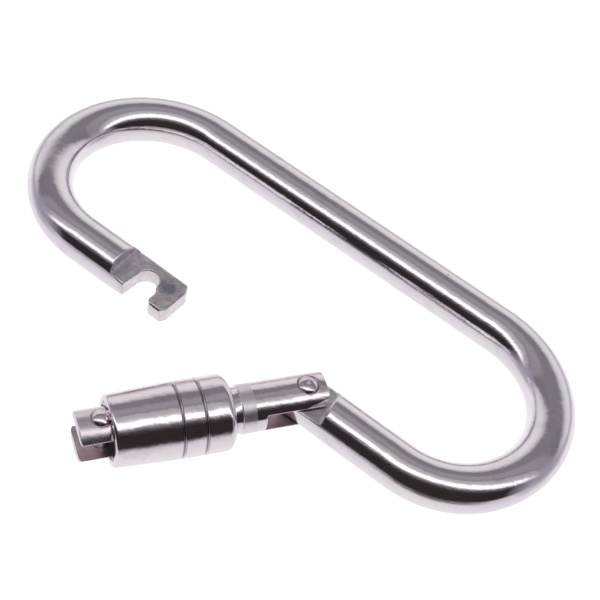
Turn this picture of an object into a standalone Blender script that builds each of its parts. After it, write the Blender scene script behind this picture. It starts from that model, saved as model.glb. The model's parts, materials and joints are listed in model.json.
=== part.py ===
"""Round-bar locking snap hook: bent hook body, hinged fork gate, spring-loaded lock sleeve.

Metres, +Z up. The hook lies in the XY plane, its straight back along +X from nose to hinge,
the gate on the -Y side, swung open. All the driving dimensions are given in millimetres below.
"""
import math

import bmesh
import bpy
from mathutils import Vector

MM = 0.001

# ---- bar and hook body (mm) ----
BAR_R = 4.0
BAR_BEVEL_RESOLUTION = 12
BACK_LENGTH = 62.4
NOSE_BEND_RADII = (18.4, 17.4, 17.2)
HINGE_BEND_RADII = (19.3, 18.0, 15.1)
BEND_STEPS = 9
LEG_Y = -(NOSE_BEND_RADII[0] / 2 + NOSE_BEND_RADII[1] + NOSE_BEND_RADII[2] / 2)

# ---- gate hinge and latch positions (mm) ----
PIVOT_X = 47.1
LATCH_REACH = 33.6
NOTCH_X = PIVOT_X - LATCH_REACH
GATE_ANGLE = math.radians(-124.35)

# ---- nose tang with its U notch (mm) ----
NOSE_TANG_HALF = 1.6
NOSE_TANG_BASE = NOTCH_X - 4.65
NOSE_TANG_RAMP = 0.75
NOSE_TIP_X = NOTCH_X + 6.5
NOSE_OUTER_ROUND = 1.0
NOSE_INNER_ROUND = 1.5
NOTCH_R = 1.95
NOTCH_HEEL_FLARE = 0.25
FINGER_WAIST = (2.25, -0.55)
FINGER_SIDE = (2.8, -1.3)
FINGER_CORNER = (3.5, -3.2)
FINGER_CORNER_R = 0.75
NOTCH_MOUTH_X = 4.8

# ---- hinge tang (mm) ----
HINGE_TANG_HALF = 1.55
HINGE_TANG_R = 3.9
HINGE_TANG_BASE = 4.35
HINGE_TANG_RAMP = 0.75
HINGE_SHOULDER_SLANT = math.radians(10.0)
RAMP_STEPS = 6

# ---- gate bar, measured from the hinge pivot (mm) ----
GATE_FRONT = 37.5
GATE_REAR = -3.0
FRONT_SLOT_FLOOR = 26.0
FRONT_SLOT_HALF = 2.0
FRONT_CORNER_R = 1.3
REAR_SLOT_FLOOR = 7.5
REAR_SLOT_HALF = 1.85
REAR_CORNER_R = 2.0
CORNER_INSET = 0.2
NECK_START = 11.4
NECK_END = 13.1
NECK_R = 3.82
NECK_STEP = 0.15
RING_GROOVE_START = 16.15
RING_GROOVE_END = 16.85
RING_GROOVE_R = 3.5

# ---- rivets (mm) ----
SHANK_R = 1.5
BORE_R = 1.55
LATCH_SEAT_Z = 3.6
LATCH_SEAT_R = 1.8
LATCH_HEAD_R = 1.58
LATCH_DOME_Z = 3.95
LATCH_DOME_STEPS = 6
LATCH_HEAD_TOP = 4.62
HINGE_SEAT_Z = 3.35
HINGE_SEAT_R = 1.9
HINGE_HEAD_R = 1.7
HINGE_HEAD_ROUND = 0.42
HINGE_HEAD_TOP = 4.3
HINGE_DIMPLE_R = 0.32
HINGE_DIMPLE_DEPTH = 0.14
HEAD_GAP = 0.05

# ---- lock sleeve, measured from the hinge pivot (mm) ----
SLEEVE_REAR = 13.1
SLEEVE_FRONT = 32.5
SLEEVE_R = 6.2
SLEEVE_MOUTH_R = 5.8
SLEEVE_TAPER_START = 22.6
SLEEVE_REAR_ROUND = 1.2
SLEEVE_MOUTH_ROUND = 0.55
GRIP_RINGS = (18.0, 21.7)
GRIP_RING_HALF = 0.4
GRIP_RING_DEPTH = 0.3
MOUTH_BORE_R = 4.72
LAND_FRONT = 31.8
LAND_REAR = 30.1
LAND_R = 4.15
CHAMBER_R = 5.25
BORE_BREAK = 0.13

# ---- pieces inside the sleeve, measured from the hinge pivot (mm) ----
BUSH_REAR = 13.4
BUSH_FRONT = 14.9
BUSH_R = 5.2
BUSH_BORE_R = 4.12
RING_REAR = 16.25
RING_FRONT = 16.75
RING_R = 4.9
RING_BORE_R = 3.55
RING_MOUTH = 4.4
SEAT_WASHER_REAR = 17.0
SEAT_WASHER_FRONT = 17.5
THRUST_WASHER_REAR = 29.45
THRUST_WASHER_FRONT = 29.95
WASHER_R = 5.1
WASHER_BORE_R = 4.15
THIN_RING_BREAK = 0.08
BUSH_BREAK = 0.15
SPRING_R = 4.65
SPRING_WIRE_R = 0.3
SPRING_REAR = 17.85
SPRING_FRONT = 29.05
SPRING_TURNS = 9
SPRING_END_TURNS = 1.0
SPRING_STEPS_PER_TURN = 14
CLOSED_COIL_GAP = 0.02

TURNED_STEPS = 40
SLEEVE_STEPS = 32
RIVET_STEPS = 24
CORNER_STEPS = 6
EDGE_BREAK = 0.18
OVERCUT = 3.0


def clear_scene():
    for obj in list(bpy.data.objects):
        bpy.data.objects.remove(obj, do_unlink=True)
    for collection in list(bpy.data.collections):
        bpy.data.collections.remove(collection)


def new_collection(name):
    collection = bpy.data.collections.new(name)
    bpy.context.scene.collection.children.link(collection)
    return collection


def steel(name, colour, roughness):
    material = bpy.data.materials.new(name)
    material.use_nodes = True
    shader = material.node_tree.nodes["Principled BSDF"]
    shader.inputs["Base Color"].default_value = (*colour, 1.0)
    shader.inputs["Metallic"].default_value = 1.0
    shader.inputs["Roughness"].default_value = roughness
    material.diffuse_color = (*colour, 1.0)
    return material


def empty(name, location, parent=None, angle=0.0):
    obj = bpy.data.objects.new(name, None)
    obj.empty_display_size = 0.01
    obj.location = Vector(location) * MM
    obj.rotation_euler = (0.0, 0.0, angle)
    obj.parent = parent
    PARTS.objects.link(obj)
    return obj


def make_cutter(obj):
    """Move an object to the cutters' collection, out of renders."""
    for collection in list(obj.users_collection):
        collection.objects.unlink(obj)
    CUTTERS.objects.link(obj)
    obj.hide_render = True
    obj.display_type = "WIRE"
    return obj


def baked(obj):
    """Replace a curve or a modified object by a plain mesh object of the same name and place."""
    bpy.context.view_layer.update()
    graph = bpy.context.evaluated_depsgraph_get()
    mesh = bpy.data.meshes.new_from_object(obj.evaluated_get(graph))
    name, parent, collections = obj.name, obj.parent, list(obj.users_collection)
    location, rotation = obj.location.copy(), obj.rotation_euler.copy()
    bpy.data.objects.remove(obj, do_unlink=True)
    solid = bpy.data.objects.new(name, mesh)
    solid.parent = parent
    solid.location = location
    solid.rotation_euler = rotation
    for collection in collections:
        collection.objects.link(solid)
    work = bmesh.new()
    work.from_mesh(mesh)
    bmesh.ops.remove_doubles(work, verts=work.verts, dist=1e-7)
    bmesh.ops.recalc_face_normals(work, faces=work.faces)
    work.to_mesh(mesh)
    work.free()
    return solid


def plate(name, outline, half, parent=None, location=(0, 0, 0), rotation=(0, 0, 0)):
    """A flat plate from a closed outline (mm), half as thick each way, as a plain mesh."""
    curve = bpy.data.curves.new(name, "CURVE")
    curve.dimensions = "2D"
    curve.fill_mode = "BOTH"
    curve.extrude = half * MM
    spline = curve.splines.new("POLY")
    spline.points.add(len(outline) - 1)
    for point, (x, y) in zip(spline.points, outline):
        point.co = (x * MM, y * MM, 0.0, 1.0)
    spline.use_cyclic_u = True
    obj = bpy.data.objects.new(name, curve)
    obj.parent = parent
    obj.location = Vector(location) * MM
    obj.rotation_euler = rotation
    PARTS.objects.link(obj)
    return baked(obj)


def turned(name, profile, steps, parent, location=(0, 0, 0), rotation=(0, 0, 0), closed=False):
    """A turned solid from a profile of (radius, height) pairs in mm, spun about its own Z."""
    mesh = bpy.data.meshes.new(name)
    points = [(r * MM, 0.0, z * MM) for r, z in profile]
    edges = [(i, i + 1) for i in range(len(points) - 1)]
    if closed:
        edges.append((len(points) - 1, 0))
    mesh.from_pydata(points, edges, [])
    obj = bpy.data.objects.new(name, mesh)
    obj.parent = parent
    obj.location = Vector(location) * MM
    obj.rotation_euler = rotation
    PARTS.objects.link(obj)
    screw = obj.modifiers.new("Screw", "SCREW")
    screw.axis = "Z"
    screw.steps = steps
    screw.render_steps = steps
    screw.use_merge_vertices = True
    screw.merge_threshold = 1e-6
    screw.use_normal_calculate = True
    return baked(obj)


def mirrored_profile(upper):
    """A profile that is alike above and below its middle, from the points of its upper half."""
    return upper + [(r, -z) for r, z in reversed(upper)]


def arc(centre, radius, start, end, steps):
    """Points on an arc, angles in degrees, both ends included."""
    points = []
    for i in range(steps + 1):
        angle = math.radians(start + (end - start) * i / steps)
        points.append((centre[0] + radius * math.cos(angle), centre[1] + radius * math.sin(angle)))
    return points


def cut(target, cutter):
    """Subtract a cutter from the target; the cutter stays, hidden, in its own collection."""
    make_cutter(cutter)
    modifier = target.modifiers.new(cutter.name, "BOOLEAN")
    modifier.operation = "DIFFERENCE"
    modifier.solver = "EXACT"
    modifier.object = cutter


def finish(obj, material, edge_break=0.0):
    """Break the sharp edges, shade smooth and give the piece its material."""
    if edge_break:
        bevel = obj.modifiers.new("Edge break", "BEVEL")
        bevel.width = edge_break * MM
        bevel.segments = 1
        bevel.limit_method = "ANGLE"
        bevel.angle_limit = math.radians(40)
    obj.data.materials.clear()
    obj.data.materials.append(material)
    for polygon in obj.data.polygons:
        polygon.use_smooth = True
    return obj


# ---- hook body ----


def bend(start, heading, turn, radii):
    """Centreline points of a bend made of arcs of equal sweep, its start left out."""
    points = []
    x, y = start
    sweep = turn / len(radii)
    for radius in radii:
        side = 1.0 if turn > 0 else -1.0
        centre_x = x - side * radius * math.sin(heading)
        centre_y = y + side * radius * math.cos(heading)
        for i in range(1, BEND_STEPS + 1):
            angle = heading + sweep * i / BEND_STEPS
            points.append(
                (centre_x + side * radius * math.sin(angle), centre_y - side * radius * math.cos(angle))
            )
        heading += sweep
        x, y = points[-1]
    return points


def bar_centreline():
    """From the nose tip round the back to the end of the hinge tang."""
    nose = bend((0.0, 0.0), math.pi, math.pi, NOSE_BEND_RADII)
    hinge = bend((BACK_LENGTH, 0.0), 0.0, -math.pi, HINGE_BEND_RADII)
    nose_end = (NOSE_TIP_X + OVERCUT, nose[-1][1])
    hinge_end = (PIVOT_X - HINGE_TANG_R - OVERCUT, hinge[-1][1])
    return [nose_end, *reversed(nose), (0.0, 0.0), (BACK_LENGTH, 0.0), *hinge, hinge_end]


def bent_bar(name, parent):
    curve = bpy.data.curves.new(name, "CURVE")
    curve.dimensions = "3D"
    curve.bevel_depth = BAR_R * MM
    curve.bevel_resolution = BAR_BEVEL_RESOLUTION
    curve.use_fill_caps = True
    path = bar_centreline()
    spline = curve.splines.new("POLY")
    spline.points.add(len(path) - 1)
    for point, (x, y) in zip(spline.points, path):
        point.co = (x * MM, y * MM, 0.0, 1.0)
    obj = bpy.data.objects.new(name, curve)
    obj.parent = parent
    PARTS.objects.link(obj)
    return baked(obj)


def flat_outline(half, base, ramp, far, sign):
    """Side outline of the stock milled off one face of a tang.

    The floor lies at height half and runs from -far to base, where the cutter's radius rises.
    """
    top = BAR_R + OVERCUT
    rise = arc((base, half + ramp), ramp, -90, 0, RAMP_STEPS)
    outline = [(-far, half), *rise, (base + ramp, top), (-far, top)]
    return [(x, sign * z) for x, z in outline]


def mill_tang(body, name, half, base, ramp, far, place, turn):
    """Mill the top and bottom faces of a tang; turn points the outline's +X at the shoulder."""
    for label, sign in (("top", 1), ("bottom", -1)):
        outline = flat_outline(half, base, ramp, far, sign)
        stock = plate(
            f"{name}_{label}_stock",
            outline,
            BAR_R + OVERCUT,
            parent=body.parent,
            location=place,
            rotation=(math.pi / 2, 0.0, turn),
        )
        cut(body, stock)


def tip_outline(length, half_width, lower_round, upper_round, clear):
    """Plan outline of the stock outside a squared end whose two corners are rounded."""
    lower_centre = (length - lower_round, lower_round - half_width)
    upper_centre = (length - upper_round, half_width - upper_round)
    return [
        (upper_centre[0], clear),
        (length + clear, clear),
        (length + clear, -clear),
        (lower_centre[0], -clear),
        *arc(lower_centre, lower_round, -90, 0, CORNER_STEPS),
        *arc(upper_centre, upper_round, 0, 90, CORNER_STEPS),
    ]


def notch_outline():
    """Plan outline of the U notch, open towards -Y, its round end on the latch position."""
    bottom = arc((0.0, 0.0), NOTCH_R, 180, 0, 14)
    mouth_y = -(BAR_R + OVERCUT)
    return [
        (-NOTCH_R - NOTCH_HEEL_FLARE, mouth_y),
        (-NOTCH_R - NOTCH_HEEL_FLARE, -BAR_R),
        *bottom,
        FINGER_WAIST,
        FINGER_SIDE,
        *arc(FINGER_CORNER, FINGER_CORNER_R, 180, 245, 4),
        (NOTCH_MOUTH_X, mouth_y),
    ]


def hinge_end_outline():
    """Plan outline of the stock outside the round end of the hinge tang."""
    clear = BAR_R + OVERCUT
    end = arc((0.0, 0.0), HINGE_TANG_R, 270, 90, 20)
    return [(0.0, clear), (-clear - BAR_R, clear), (-clear - BAR_R, -clear), (0.0, -clear), *end]


def hook_body(parent, material):
    body = bent_bar("hook_body", parent)
    mill_tang(
        body, "nose", NOSE_TANG_HALF, NOTCH_X - NOSE_TANG_BASE, NOSE_TANG_RAMP,
        BAR_R * 4, (NOTCH_X, LEG_Y, 0.0), math.pi,
    )
    mill_tang(
        body, "hinge", HINGE_TANG_HALF, HINGE_TANG_BASE, HINGE_TANG_RAMP,
        BAR_R * 4, (PIVOT_X, LEG_Y, 0.0), HINGE_SHOULDER_SLANT,
    )
    half = BAR_R + OVERCUT
    at_notch = (NOTCH_X, LEG_Y, 0.0)
    at_pivot = (PIVOT_X, LEG_Y, 0.0)
    tip = tip_outline(
        NOSE_TIP_X - NOTCH_X, BAR_R - CORNER_INSET, NOSE_OUTER_ROUND, NOSE_INNER_ROUND, half
    )
    cut(body, plate("nose_tip_stock", tip, half, parent, at_notch))
    cut(body, plate("notch_stock", notch_outline(), half, parent, at_notch))
    cut(body, plate("hinge_end_stock", hinge_end_outline(), half, parent, at_pivot))
    drill = [(0.0, half), (BORE_R, half), (BORE_R, -half), (0.0, -half)]
    cut(body, turned("tang_bore", drill, RIVET_STEPS, parent, at_pivot))
    return finish(baked(body), material, EDGE_BREAK)


# ---- gate ----


def along_gate():
    """Rotation that lays a turned piece's own Z along the gate's +X."""
    return (0.0, math.pi / 2, 0.0)


def gate_bar(parent, material):
    profile = [
        (0.0, GATE_FRONT + OVERCUT),
        (BAR_R, GATE_FRONT + OVERCUT),
        (BAR_R, RING_GROOVE_END),
        (RING_GROOVE_R, RING_GROOVE_END),
        (RING_GROOVE_R, RING_GROOVE_START),
        (BAR_R, RING_GROOVE_START),
        (BAR_R, NECK_END + NECK_STEP),
        (NECK_R, NECK_END),
        (NECK_R, NECK_START + NECK_STEP),
        (BAR_R, NECK_START),
        (BAR_R, GATE_REAR - OVERCUT),
        (0.0, GATE_REAR - OVERCUT),
    ]
    bar = turned("gate_bar", profile, TURNED_STEPS, parent, rotation=along_gate())
    clear = BAR_R + 2 * OVERCUT
    front = [
        (FRONT_SLOT_FLOOR, -FRONT_SLOT_HALF),
        (GATE_FRONT + clear, -FRONT_SLOT_HALF),
        (GATE_FRONT + clear, FRONT_SLOT_HALF),
        (FRONT_SLOT_FLOOR, FRONT_SLOT_HALF),
    ]
    rear = [
        (GATE_REAR - clear, -REAR_SLOT_HALF),
        (REAR_SLOT_FLOOR, -REAR_SLOT_HALF),
        (REAR_SLOT_FLOOR, REAR_SLOT_HALF),
        (GATE_REAR - clear, REAR_SLOT_HALF),
    ]
    upright = (math.pi / 2, 0.0, 0.0)
    cut(bar, plate("front_slot_stock", front, clear, parent, rotation=upright))
    cut(bar, plate("rear_slot_stock", rear, clear, parent, rotation=upright))
    width = BAR_R - CORNER_INSET
    nose = tip_outline(GATE_FRONT, width, FRONT_CORNER_R, FRONT_CORNER_R, clear)
    tail = tip_outline(-GATE_REAR, width, REAR_CORNER_R, REAR_CORNER_R, clear)
    cut(bar, plate("front_corner_stock", nose, clear, parent))
    cut(bar, plate("rear_corner_stock", tail, clear, parent, rotation=(0.0, 0.0, math.pi)))
    for label, reach, seat_z, seat_r in (
        ("latch", LATCH_REACH, LATCH_SEAT_Z, LATCH_SEAT_R),
        ("hinge", 0.0, HINGE_SEAT_Z, HINGE_SEAT_R),
    ):
        drill = mirrored_profile([(0.0, clear), (seat_r, clear), (seat_r, seat_z), (BORE_R, seat_z)])
        place = (reach, 0.0, 0.0)
        cut(bar, turned(f"{label}_bore", drill, RIVET_STEPS, parent, place))
    return finish(baked(bar), material, EDGE_BREAK)


def latch_rivet(parent, material):
    seat = LATCH_SEAT_Z + HEAD_GAP
    rise = LATCH_HEAD_TOP - LATCH_DOME_Z
    dome = []
    for i in range(LATCH_DOME_STEPS + 1):
        angle = math.pi / 2 * i / LATCH_DOME_STEPS
        dome.append((LATCH_HEAD_R * math.sin(angle), LATCH_DOME_Z + rise * math.cos(angle)))
    upper = dome + [(LATCH_HEAD_R, seat), (SHANK_R, seat)]
    place = (LATCH_REACH, 0.0, 0.0)
    rivet = turned("latch_rivet", mirrored_profile(upper), RIVET_STEPS, parent, place)
    return finish(rivet, material)


def hinge_rivet(parent, material):
    seat = HINGE_SEAT_Z + HEAD_GAP
    rim = HINGE_HEAD_ROUND
    corner = arc((HINGE_HEAD_R - rim, HINGE_HEAD_TOP - rim), rim, 90, 0, 4)
    upper = [
        (0.0, HINGE_HEAD_TOP - HINGE_DIMPLE_DEPTH),
        (HINGE_DIMPLE_R, HINGE_HEAD_TOP),
        *corner,
        (HINGE_HEAD_R, seat),
        (SHANK_R, seat),
    ]
    rivet = turned("hinge_rivet", mirrored_profile(upper), RIVET_STEPS, parent)
    return finish(rivet, material)


# ---- lock sleeve and its inside ----


def sleeve_profile():
    """Closed section of the sleeve: outside from the mouth to the rear, then back inside."""
    mouth = arc(
        (SLEEVE_MOUTH_R - SLEEVE_MOUTH_ROUND, SLEEVE_FRONT - SLEEVE_MOUTH_ROUND),
        SLEEVE_MOUTH_ROUND, 90, 0, 3,
    )
    rear = arc(
        (SLEEVE_R - SLEEVE_REAR_ROUND, SLEEVE_REAR + SLEEVE_REAR_ROUND),
        SLEEVE_REAR_ROUND, 0, -90, 5,
    )
    rings = []
    for centre in reversed(GRIP_RINGS):
        rings += [
            (SLEEVE_R, centre + GRIP_RING_HALF),
            (SLEEVE_R - GRIP_RING_DEPTH, centre + GRIP_RING_HALF / 3),
            (SLEEVE_R - GRIP_RING_DEPTH, centre - GRIP_RING_HALF / 3),
            (SLEEVE_R, centre - GRIP_RING_HALF),
        ]
    inside = [
        (CHAMBER_R + BORE_BREAK, SLEEVE_REAR),
        (CHAMBER_R, SLEEVE_REAR + BORE_BREAK),
        (CHAMBER_R, LAND_REAR),
        (LAND_R, LAND_REAR),
        (LAND_R, LAND_FRONT),
        (MOUTH_BORE_R, LAND_FRONT),
        (MOUTH_BORE_R, SLEEVE_FRONT - BORE_BREAK),
        (MOUTH_BORE_R + BORE_BREAK, SLEEVE_FRONT),
    ]
    return [*mouth, (SLEEVE_R, SLEEVE_TAPER_START), *rings, *rear[:-1], *inside]


def lock_sleeve(parent, material):
    sleeve = turned(
        "lock_sleeve", sleeve_profile(), SLEEVE_STEPS, parent, rotation=along_gate(), closed=True
    )
    return finish(sleeve, material)


def washer(name, bore, radius, rear, front, edge, parent, material):
    """A plain ring round the gate with its outer edges broken."""
    profile = [
        (radius - edge, front),
        (radius, front - edge),
        (radius, rear + edge),
        (radius - edge, rear),
        (bore, rear),
        (bore, front),
    ]
    ring = turned(name, profile, TURNED_STEPS, parent, rotation=along_gate(), closed=True)
    return finish(ring, material)


def retaining_ring(parent, material):
    """A spring ring in the gate's groove, open on one side so that it can be fitted."""
    ring = washer(
        "retaining_ring", RING_BORE_R, RING_R, RING_REAR, RING_FRONT, THIN_RING_BREAK,
        parent, material,
    )
    half = RING_MOUTH / 2
    mouth = [
        (RING_REAR - OVERCUT, -half),
        (RING_FRONT + OVERCUT, -half),
        (RING_FRONT + OVERCUT, half),
        (RING_REAR - OVERCUT, half),
    ]
    height = RING_R / 2 + OVERCUT / 2
    place = (0.0, 0.0, RING_BORE_R / 2 - height)
    cut(ring, plate("ring_mouth_stock", mouth, height, parent, place))
    return finish(baked(ring), material)


def lock_spring(parent, material):
    """A compression spring with one closed turn at each end."""
    steps = SPRING_TURNS * SPRING_STEPS_PER_TURN
    wire = 2 * SPRING_WIRE_R + CLOSED_COIL_GAP
    open_turns = SPRING_TURNS - 2 * SPRING_END_TURNS
    open_rise = SPRING_FRONT - SPRING_REAR - 2 * SPRING_END_TURNS * wire
    curve = bpy.data.curves.new("lock_spring", "CURVE")
    curve.dimensions = "3D"
    curve.bevel_depth = SPRING_WIRE_R * MM
    curve.bevel_resolution = 2
    curve.use_fill_caps = True
    spline = curve.splines.new("POLY")
    spline.points.add(steps)
    for i, point in enumerate(spline.points):
        turns = i / SPRING_STEPS_PER_TURN
        first = min(turns, SPRING_END_TURNS)
        last = max(turns - SPRING_TURNS + SPRING_END_TURNS, 0.0)
        middle = turns - first - last
        s = SPRING_REAR + wire * (first + last) + open_rise * middle / open_turns
        angle = 2 * math.pi * turns
        y, z = SPRING_R * math.cos(angle), SPRING_R * math.sin(angle)
        point.co = (s * MM, y * MM, z * MM, 1.0)
    obj = bpy.data.objects.new("lock_spring", curve)
    obj.parent = parent
    PARTS.objects.link(obj)
    return finish(baked(obj), material)


# ---- assembly ----

clear_scene()
PARTS = new_collection("locking_snap_hook")
CUTTERS = new_collection("cutters")

POLISHED = steel("polished_stainless", (0.78, 0.77, 0.79), 0.12)
GATE_STEEL = steel("gate_stainless", (0.72, 0.70, 0.72), 0.2)
RIVET_STEEL = steel("rivet_stainless", (0.70, 0.69, 0.71), 0.22)
SLEEVE_STEEL = steel("sleeve_stainless", (0.80, 0.79, 0.81), 0.1)
BUSH_STEEL = steel("bush_stainless", (0.62, 0.60, 0.60), 0.35)
SPRING_STEEL = steel("spring_stainless", (0.60, 0.59, 0.58), 0.3)
RING_STEEL = steel("ring_stainless", (0.55, 0.54, 0.55), 0.35)
LATCH_STEEL = steel("latch_rivet_stainless", (0.76, 0.75, 0.77), 0.16)
WASHER_STEEL = steel("thrust_washer_stainless", (0.65, 0.64, 0.64), 0.3)
SEAT_STEEL = steel("seat_washer_stainless", (0.63, 0.62, 0.62), 0.32)

root = empty("hook_frame", (0.0, 0.0, 0.0))
rivet_axis = empty("hinge_rivet_axis", (PIVOT_X, LEG_Y, 0.0), root, GATE_ANGLE)
gate_axis = empty("gate_axis", (0.0, 0.0, 0.0), rivet_axis)
slide_axis = empty("sleeve_slide_axis", (SLEEVE_REAR, 0.0, 0.0), gate_axis)
spin_axis = empty("sleeve_spin_axis", (0.0, 0.0, 0.0), slide_axis)
sliding = empty("sliding_stations", (-SLEEVE_REAR, 0.0, 0.0), slide_axis)
spinning = empty("spinning_stations", (-SLEEVE_REAR, 0.0, 0.0), spin_axis)

hook_body(root, POLISHED)
hinge_rivet(rivet_axis, RIVET_STEEL)
gate_bar(gate_axis, GATE_STEEL)
latch_rivet(gate_axis, LATCH_STEEL)
retaining_ring(gate_axis, RING_STEEL)
washer(
    "spring_seat_washer", WASHER_BORE_R, WASHER_R, SEAT_WASHER_REAR, SEAT_WASHER_FRONT,
    THIN_RING_BREAK, gate_axis, SEAT_STEEL,
)
lock_spring(gate_axis, SPRING_STEEL)
washer(
    "spring_thrust_washer", WASHER_BORE_R, WASHER_R, THRUST_WASHER_REAR, THRUST_WASHER_FRONT,
    THIN_RING_BREAK, sliding, WASHER_STEEL,
)
lock_sleeve(spinning, SLEEVE_STEEL)
washer(
    "sleeve_end_bush", BUSH_BORE_R, BUSH_R, BUSH_REAR, BUSH_FRONT,
    BUSH_BREAK, spinning, BUSH_STEEL,
)


def placed_bounds():
    """Lowest and highest world corner of all the pieces, modifiers included."""
    bpy.context.view_layer.update()
    graph = bpy.context.evaluated_depsgraph_get()
    low = Vector((1e9, 1e9, 1e9))
    high = -low
    for obj in PARTS.objects:
        if obj.type != "MESH":
            continue
        solid = obj.evaluated_get(graph)
        for vertex in solid.data.vertices:
            point = solid.matrix_world @ vertex.co
            low = Vector(map(min, low, point))
            high = Vector(map(max, high, point))
    return low, high


lowest, highest = placed_bounds()
root.location = (-(lowest.x + highest.x) / 2, -(lowest.y + highest.y) / 2, -lowest.z)
bpy.context.view_layer.update()
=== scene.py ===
"""Looks of a round-bar locking snap hook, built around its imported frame.

Every visible piece is a finer mesh than its CAD node and stands in the same place: a bent bar
with two milled tangs, a forked gate with its rivets, and a spring-loaded lock sleeve.
Lengths in the constants below are millimetres. Stations along the gate are measured from the
hinge pivot towards the latch.
"""
import json
import math

import bmesh
import bpy
from mathutils import Matrix, Vector


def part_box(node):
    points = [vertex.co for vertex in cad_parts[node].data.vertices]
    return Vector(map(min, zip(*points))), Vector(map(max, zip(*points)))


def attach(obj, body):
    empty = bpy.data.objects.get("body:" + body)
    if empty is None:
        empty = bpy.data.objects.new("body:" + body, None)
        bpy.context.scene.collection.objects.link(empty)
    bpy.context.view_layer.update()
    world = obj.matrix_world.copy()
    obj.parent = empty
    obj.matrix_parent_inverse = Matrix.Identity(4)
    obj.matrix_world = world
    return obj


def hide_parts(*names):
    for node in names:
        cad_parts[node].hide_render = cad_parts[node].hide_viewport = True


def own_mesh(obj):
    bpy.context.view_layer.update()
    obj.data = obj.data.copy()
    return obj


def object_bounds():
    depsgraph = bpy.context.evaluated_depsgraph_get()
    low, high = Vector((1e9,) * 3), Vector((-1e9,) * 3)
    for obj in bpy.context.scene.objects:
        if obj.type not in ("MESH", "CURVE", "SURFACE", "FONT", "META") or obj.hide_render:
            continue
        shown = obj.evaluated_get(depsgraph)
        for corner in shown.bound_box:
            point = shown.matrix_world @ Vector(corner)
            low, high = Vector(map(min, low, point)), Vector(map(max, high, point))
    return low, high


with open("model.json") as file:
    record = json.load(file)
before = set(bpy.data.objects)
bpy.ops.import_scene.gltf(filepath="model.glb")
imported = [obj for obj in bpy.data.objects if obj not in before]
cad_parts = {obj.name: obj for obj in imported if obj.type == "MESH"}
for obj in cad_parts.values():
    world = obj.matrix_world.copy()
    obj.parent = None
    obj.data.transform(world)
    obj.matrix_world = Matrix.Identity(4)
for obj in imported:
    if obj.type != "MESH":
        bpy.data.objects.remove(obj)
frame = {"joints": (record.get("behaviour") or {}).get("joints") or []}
cad_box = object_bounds()

MM = 0.001

# ---- bar and hook body ----
BAR_R = 4.0
BAR_SIDES = 96
BACK_LENGTH = 62.4
NOSE_BEND_RADII = (18.4, 17.4, 17.2)
HINGE_BEND_RADII = (19.3, 18.0, 15.1)
BEND_STEPS = 26
LEG_Y = -(NOSE_BEND_RADII[0] / 2 + NOSE_BEND_RADII[1] + NOSE_BEND_RADII[2] / 2)
PIVOT_X = 47.1
NOTCH_X = 13.5

# ---- tangs ----
NOSE_TANG_HALF = 1.6
NOSE_TANG_REACH = 4.65
NOSE_TIP_REACH = 6.5
NOSE_OUTER_ROUND = 1.5
NOSE_INNER_ROUND = 2.0
NOTCH_R = 1.95
NOTCH_HEEL_FLARE = 0.25
FINGER_WAIST = (2.25, -0.55)
FINGER_SIDE = (2.8, -1.3)
FINGER_CORNER = (2.78, -3.0)
FINGER_RUNOUT = 0.8
HINGE_TANG_HALF = 1.55
HINGE_TANG_R = 3.9
HINGE_TANG_REACH = 4.35
HINGE_SHOULDER_SLANT = math.radians(10.0)
TAIL_RUNOUT = 20.0
NOSE_RUNOUT = 60.0
PRONG_RUNOUT = 40.0
TANG_RAMP = 0.75

# ---- hook edges, rounded to this width except at the feet of the tangs' shoulders ----
HOOK_EDGE = 0.34
FOOT_SIDE = 2.6
FOOT_RISE = 0.3
FOOT_DEPTH = 0.2
NOSE_FOOT_HALF = 0.9
HINGE_FOOT_HALF = 1.5

# ---- gate ----
GATE_SIDES = 96
GATE_FRONT = 37.5
GATE_REAR = -3.0
FRONT_SLOT_FLOOR = 26.0
FRONT_SLOT_HALF = 2.0
FRONT_CORNER_R = 1.3
REAR_SLOT_FLOOR = 7.5
REAR_SLOT_HALF = 1.85
REAR_CORNER_R = 2.0
CORNER_INSET = 0.2
SATIN_START = 9.25
NECK_START = 11.4
NECK_END = 13.1
NECK_R = 3.82
NECK_STEP = 0.15
RING_GROOVE = (16.15, 16.85)
RING_GROOVE_R = 3.5

# ---- gate edges, narrower on the turned steps and left sharp in the prongs' tips ----
GATE_EDGE = 0.22
STEP_SHARE = 0.3
STEP_MARGIN = 0.5
FRONT_TIP_LENGTH = 1.3
FRONT_TIP_SIDE = 2.4
REAR_TIP_LENGTH = 1.6
REAR_TIP_SIDE = 1.7

# ---- rivets ----
LATCH_REACH = PIVOT_X - NOTCH_X
RIVET_SIDES = 64
SHANK_R = 1.5
BORE_R = 1.55
LATCH_SEAT_Z = 3.6
LATCH_SEAT_R = 1.8
LATCH_HEAD_R = 1.58
LATCH_DOME_Z = 3.8
LATCH_HEAD_TOP = 4.62
HINGE_SEAT_Z = 3.35
HINGE_SEAT_R = 1.9
# Slope in degrees and width of the head's rings, from the dimple outward.
HINGE_HEAD_SLOPES = (
    (3, 0.19), (8, 0.1), (14, 0.1), (20, 0.12), (25, 0.14), (29, 0.14), (33, 0.14), (38, 0.1),
    (46, 0.08), (55, 0.07), (65, 0.05), (75, 0.03),
)
HINGE_DIMPLE_R = 0.442
HINGE_DIMPLE_DEPTH = 0.15
HINGE_HEAD_TOP = 4.3
HEAD_GAP = 0.05
DOME_STEPS = 18
DIMPLE_STEPS = 8

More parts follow.
